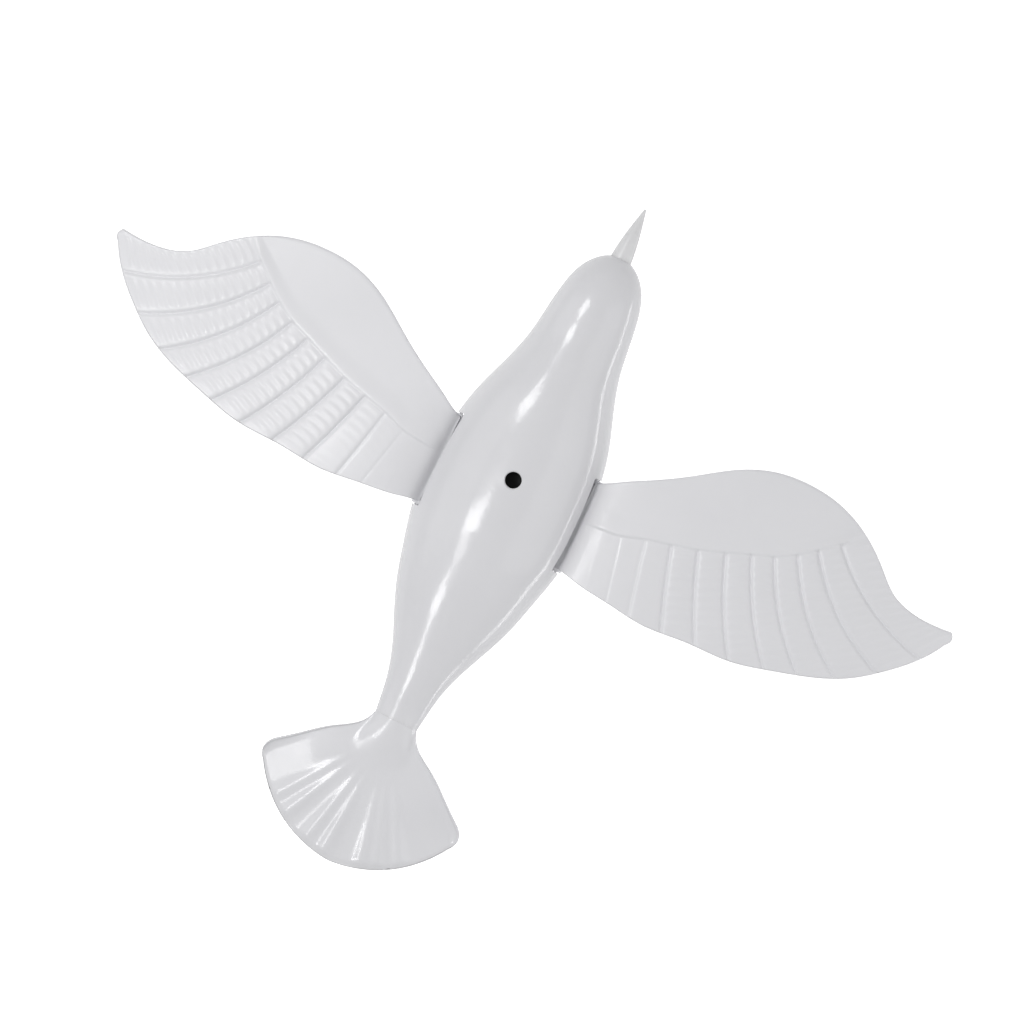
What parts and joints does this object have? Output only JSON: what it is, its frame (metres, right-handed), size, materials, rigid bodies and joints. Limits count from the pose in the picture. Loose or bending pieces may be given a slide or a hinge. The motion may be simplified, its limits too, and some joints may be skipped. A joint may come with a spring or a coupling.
{
  "type": "motion wing decoy",
  "caption": "White moulded bird decoy in flight with a fanned tail, geared flapping wings driven by an enclosed motor, and an upright tube in the body that takes a stake from below.",
  "frame": {"origin": "on the stake tube's axis, at the parting plane of the two body shells", "axes": "+X towards the right wing tip, +Y towards the beak, +Z out of the bird's back"},
  "size_m": [0.3914, 0.305, 0.0587],
  "materials": {
    "body_white": "moulded, semi-gloss",
    "wing_white": "moulded, semi-gloss with feather relief",
    "tail_white": "moulded, semi-gloss",
    "beak_ivory": "moulded, slightly translucent",
    "tube_black": "moulded",
    "screw_zinc": "zinc plated",
    "clip_steel": "spring steel",
    "shaft_steel": "ground",
    "gearbox_plastic": "moulded",
    "gear_acetal": "moulded acetal",
    "pinion_brass": "machined",
    "motor_steel": "plated can",
    "motor_cap_plastic": "moulded",
    "contact_metal": "nickel plated",
    "tray_plastic": "moulded",
    "cell_jacket": "printed film, plain",
    "switch_black": "moulded",
    "lead_red": "PVC insulation",
    "lead_black": "PVC insulation"
  },
  "bodies": {
    "frame": {"upper_shell": "body_white", "lower_shell": "body_white", "tail_fan": "tail_white", "beak": "beak_ivory", "stake_tube": "tube_black", "shell_screws": "screw_zinc", "foot_screws": "screw_zinc", "gearbox_front_plate": "gearbox_plastic", "gearbox_rear_plate": "gearbox_plastic", "gearbox_screws": "screw_zinc", "guide_rods": "shaft_steel", "idler_axle": "shaft_steel", "motor_can": "motor_steel", "motor_cap": "motor_cap_plastic", "motor_terminals": "contact_metal", "motor_screws": "screw_zinc", "battery_tray": "tray_plastic", "battery_cells": "cell_jacket", "battery_contacts": "contact_metal", "battery_springs": "contact_metal", "switch_body": "switch_black", "red_lead": "lead_red", "black_lead": "lead_black", "switch_lead": "lead_red", "right_hinge_pin": "shaft_steel", "left_hinge_pin": "shaft_steel", "door_hinge_pin": "shaft_steel"},
    "right_wing": {"right_wing_hub": "wing_white", "right_wing_blade": "wing_white", "right_wing_clips": "clip_steel"},
    "left_wing": {"left_wing_hub": "wing_white", "left_wing_blade": "wing_white", "left_wing_clips": "clip_steel"},
    "yoke": {"rack_yoke": "gear_acetal"},
    "crank": {"crank_gear": "gear_acetal", "crank_shaft": "shaft_steel", "crank_disc": "gear_acetal"},
    "idler": {"idler_gear": "gear_acetal"},
    "rotor": {"motor_shaft": "shaft_steel", "motor_pinion": "pinion_brass"},
    "door": {"battery_door": "body_white", "door_screw": "screw_zinc"},
    "switch": {"switch_knob": "switch_black"}
  },
  "joints": [
    {"name": "right_wing_flap", "type": "hinge", "parent": "frame", "child": "right_wing", "pos_m": [0.031, 0, 0], "axis": [0, -1, 0], "range_deg": [-25, 25]},
    {"name": "left_wing_flap", "type": "hinge", "parent": "frame", "child": "left_wing", "pos_m": [-0.031, 0, 0], "axis": [0, 1, 0], "range_deg": [-25, 25]},
    {"name": "yoke_slide", "type": "slide", "parent": "frame", "child": "yoke", "axis": [0, 0, 1], "range_m": [-0.0035, 0.0035]},
    {"name": "crank_spin", "type": "hinge", "parent": "frame", "child": "crank", "pos_m": [0, -0.02, 0], "axis": [0, 1, 0], "continuous": true},
    {"name": "idler_spin", "type": "hinge", "parent": "frame", "child": "idler", "pos_m": [0, -0.028, -0.012], "axis": [0, 1, 0], "continuous": true},
    {"name": "motor_spin", "type": "hinge", "parent": "frame", "child": "rotor", "pos_m": [0, -0.03, 0], "axis": [0, 1, 0], "continuous": true},
    {"name": "battery_door_hinge", "type": "hinge", "parent": "frame", "child": "door", "pos_m": [0, 0.00785, -0.031], "axis": [-1, 0, 0], "range_deg": [0, 75]},
    {"name": "switch_slide", "type": "slide", "parent": "frame", "child": "switch", "axis": [0, 1, 0], "range_m": [0, 0.004]}
  ],
  "couplings": [
    {"joint": "left_wing_flap", "follows": "right_wing_flap", "ratio": 1},
    {"joint": "yoke_slide", "follows": "right_wing_flap", "m_per_rad": -0.008},
    {"joint": "idler_spin", "follows": "crank_spin", "ratio": -3},
    {"joint": "motor_spin", "follows": "crank_spin", "ratio": 11.4}
  ]
}
